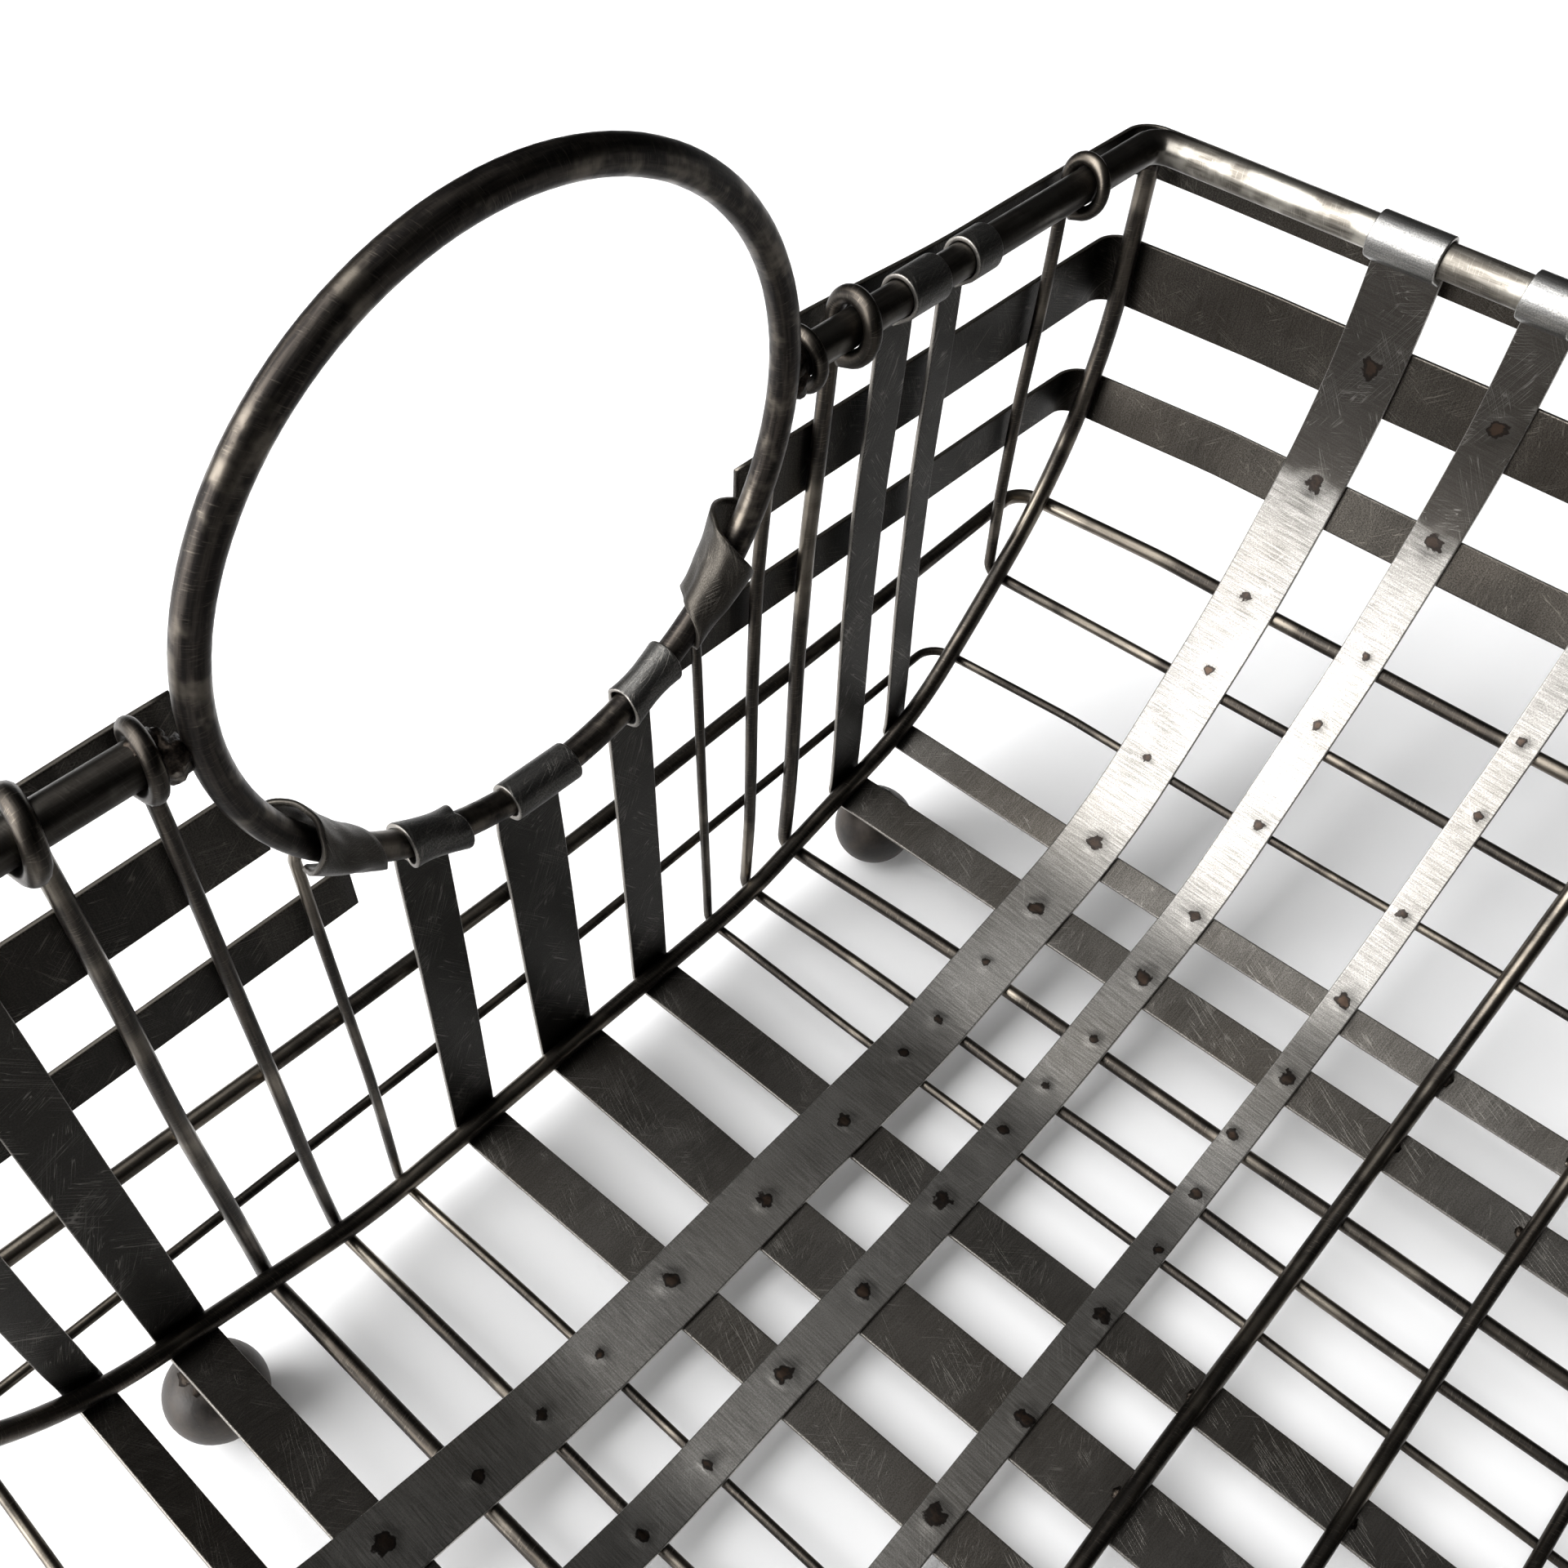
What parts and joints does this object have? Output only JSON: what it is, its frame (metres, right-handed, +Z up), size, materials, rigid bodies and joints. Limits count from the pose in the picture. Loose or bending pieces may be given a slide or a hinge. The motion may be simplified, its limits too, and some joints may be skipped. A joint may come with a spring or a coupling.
{
  "type": "strap and wire basket",
  "caption": "Low rectangular basket of crossed steel strips and wires under a rod rim, with a ring handle in each end and ball feet.",
  "frame": {"origin": "on the ground under the middle of the basket", "axes": "+X along the basket from one ring handle to the other, +Y across it, +Z up"},
  "size_m": [0.6962, 0.4772, 0.2725],
  "materials": {
    "brushed_strip": "mottled grey steel brushed across its length, clear lacquer",
    "dark_strip": "dark warm grey steel with fine speckle and scratches, brighter edges",
    "worn_rim": "rod drawn lengthwise, dark with worn bright areas and brown specks",
    "dark_rod": "near-black rod with brownish worn streaks",
    "dark_wire": "dark wire with fine wear and weld spots",
    "black_ball": "satin black-brown"
  },
  "bodies": {
    "root": {"ball_foot_1": "black_ball", "ball_foot_2": "black_ball", "ball_foot_3": "black_ball", "ball_foot_4": "black_ball", "band_medium_back": "dark_strip", "band_medium_front": "dark_strip", "band_top_back": "dark_strip", "band_top_front": "dark_strip", "band_wide_back": "dark_strip", "band_wide_front": "dark_strip", "cross_rod_1": "dark_wire", "cross_rod_2": "dark_wire", "cross_rod_3": "dark_wire", "cross_rod_4": "dark_wire", "cross_rod_5": "dark_wire", "cross_rod_6": "dark_wire", "cross_strip_1": "brushed_strip", "cross_strip_2": "brushed_strip", "cross_strip_3": "brushed_strip", "cross_strip_4": "brushed_strip", "cross_strip_5": "brushed_strip", "cross_strip_6": "brushed_strip", "cross_strip_7": "brushed_strip", "cross_strip_8": "brushed_strip", "cross_strip_9": "brushed_strip", "end_rod_left": "dark_wire", "end_rod_right": "dark_wire", "hoop_thick": "dark_wire", "hoop_thin": "dark_wire", "long_strip_1": "dark_strip", "long_strip_2": "dark_strip", "long_strip_3": "dark_strip", "long_strip_4": "dark_strip", "long_strip_5": "dark_strip", "long_strip_6": "dark_strip", "long_strip_7": "dark_strip", "long_wire_1": "dark_wire", "long_wire_2": "dark_wire", "long_wire_3": "dark_wire", "long_wire_4": "dark_wire", "long_wire_5": "dark_wire", "long_wire_6": "dark_wire", "long_wire_7": "dark_wire", "long_wire_8": "dark_wire", "rim_back": "worn_rim", "rim_front": "worn_rim", "ring_handle_left": "dark_rod", "ring_handle_right": "dark_rod"}
  },
  "joints": []
}
